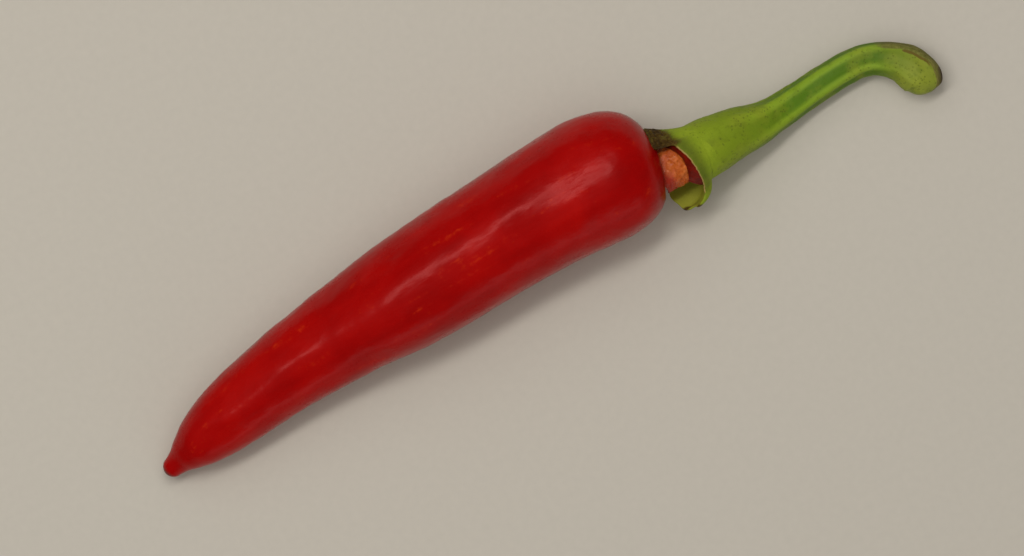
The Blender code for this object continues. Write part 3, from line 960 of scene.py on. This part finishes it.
def makeTornSkin():
    draw = np.random.default_rng(tornSkin["seed"])
    turn = np.radians(np.linspace(*tornSkin["turn"], tornSkin["around"]))
    degrees = np.degrees(turn)
    part = np.linspace(0.0, 1.0, tornSkin["rows"])[:, None] * np.ones_like(turn)
    rimBack = rimAt(np.minimum(turn, math.radians(30.0)))[0]  # it doesn't follow the lobe
    inner = tornSkin["inner"] + waves(turn, draw, 5, 30) * tornSkin["innerWobble"]
    outer = tornSkin["outer"] - tornSkin["outerLess"] * shares(18.0, 36.0, degrees)
    radius = inner + (outer - inner) * part
    low, high = tornSkin["innerBack"]
    innerBack = low + (high - low) * shares(5.0, 55.0, degrees)
    back = innerBack + (rimBack + tornSkin["recess"] - innerBack) * part
    back = back + waves(turn, draw, 4, 20) * 0.07 - tornSkin["bow"] * np.sin(part * math.pi)
    ends = shares(0.0, 0.04, np.linspace(0.0, 1.0, tornSkin["around"]))
    wall = tornSkin["wall"] * np.sqrt(np.clip(ends * ends[::-1], 0.05, 1.0)) * np.ones_like(part)
    shade = shares(15.0, 55.0, degrees)  # painted shade, darker under the lobe
    strip = sheet(calyxPoint(back, radius, turn), wall, {"shade": (shade, shade)})
    piece = sheetPiece("torn_skin_strip", *strip, tornSkinMaterial())
    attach(piece, "root")
    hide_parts("torn_skin")


makeTornSkin()
print("torn skin made")


flesh = {
    "line": [(-0.65, -0.2, 3.3), (1.75, 0.1, 3.35), (4.35, 0.15, 3.05)],  # from the flesh's own place
    "length": 5.05,
    "radii": [(0.0, 3.2), (1.2, 3.3), (2.5, 3.5), (3.5, 3.45), (5.05, 3.05)],
    "endRound": 1.1,
    "lumpSize": 1.7,
    "lumpDepth": 0.42,
    "grainSize": 0.5,
    "grainDepth": 0.12,
    "granules": 2.2,  # beads of pulp for each square millimetre
    "granuleSize": (0.06, 0.15),
    "rings": 130,
    "sides": 160,
    "seed": 4,
    "pulpColours": [(0.32, (0.33, 0.045, 0.005)), (0.48, (0.50, 0.10, 0.011)),
                    (0.62, (0.62, 0.16, 0.03)), (0.78, (0.74, 0.30, 0.10))],
    "pinkColour": (0.60, 0.13, 0.06),
    "redColour": (0.32, 0.012, 0.004),  # where it meets the pod
}


def fleshMaterial():
    pulp = Finish("tornFlesh", {"Specular IOR Level": 0.2, "Coat Weight": 0.08, "Coat Roughness": 0.15,
                                "Subsurface Weight": 0.1, "Subsurface Scale": 0.0008,
                                "Subsurface Radius": (1.0, 0.35, 0.15)})
    place = pulp.node("ShaderNodeTexCoord", out="Object")
    cloud = pulp.noise(place, 1.9, 3.0, 0.6)
    fine = pulp.noise(place, 0.4, 4.0, 0.65)
    colour = pulp.ramp(flesh["pulpColours"], cloud * 0.6 + fine * 0.4)
    pinkish = pulp.smooth(pulp.noise(place, 2.6, 2.0, 0.5), 0.48, 0.66)
    colour = pulp.blend(pinkish * 0.6, colour, flesh["pinkColour"])
    red = 1.0 - pulp.smooth(pulp.mark("along") + (cloud - 0.5) * 1.6 * mm, 0.9 * mm, 2.3 * mm)
    colour = pulp.blend(red * 0.9, colour, flesh["redColour"])
    return pulp.paint(colour=colour, roughness=0.32 + fine * 0.2, bump=pulp.bump(fine, 0.12))


def makeFlesh():
    shape = Shape("fleshShape", {
        "Length": flesh["length"] * mm, "Widest": widest(flesh) * mm, "End round": flesh["endRound"] * mm,
        "Lump depth": flesh["lumpDepth"] * mm, "Grain depth": flesh["grainDepth"] * mm,
        "Granules": flesh["granules"] / mm ** 2, "Smallest": flesh["granuleSize"][0] * mm,
        "Largest": flesh["granuleSize"][1] * mm, "Rings": flesh["rings"], "Sides": flesh["sides"],
        "Seed": flesh["seed"]}, fleshMaterial())
    length = shape.given("Length")

    def radiusAt(along):
        body = girthCurve(shape, flesh, along)
        end = rounding(shape, along, length - shape.given("End round"), length, 2.0, 2.4)
        return body * end * shape.given("Widest")

    mesh = sweep(shape, radiusAt)
    place = shape.node("GeometryNodeInputPosition")
    lump = shape.noise(place, flesh["lumpSize"], 2.0) - 0.5
    grain = shape.noise(place, flesh["grainSize"], 3.0, 0.6) - 0.5
    mesh = shape.push(mesh, shape.node("GeometryNodeInputNormal"),
                      lump * shape.given("Lump depth") * 2.0 + grain * shape.given("Grain depth") * 2.0)

    # beads of pulp all over it
    spread = shape.node("GeometryNodeDistributePointsOnFaces", {"distribute_method": "RANDOM"},
                        {"Mesh": mesh, "Density": shape.given("Granules"), "Seed": shape.given("Seed")})
    bead = shape.node("GeometryNodeMeshIcoSphere", None, {"Radius": 1.0, "Subdivisions": 2})
    size = shape.node("FunctionNodeRandomValue", {"data_type": "FLOAT"},
                      {"Min": shape.given("Smallest"), "Max": shape.given("Largest"),
                       "Seed": shape.given("Seed")})
    beads = shape.node("GeometryNodeInstanceOnPoints", None,
                       {"Points": spread, "Instance": bead, "Scale": shape.join(size, size, size)})
    both = shape.node("GeometryNodeJoinGeometry", None, {"Geometry": mesh})
    shape.tree.links.new(beads.socket, both.socket.node.inputs["Geometry"])
    shape.close(both)
    line = guideLine("fleshLine", placeOf("torn_flesh"), flesh["line"])
    piece = shape.grow("torn_flesh_stump", line)
    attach(piece, "root")
    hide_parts("torn_flesh")


makeFlesh()
print("torn flesh grown")
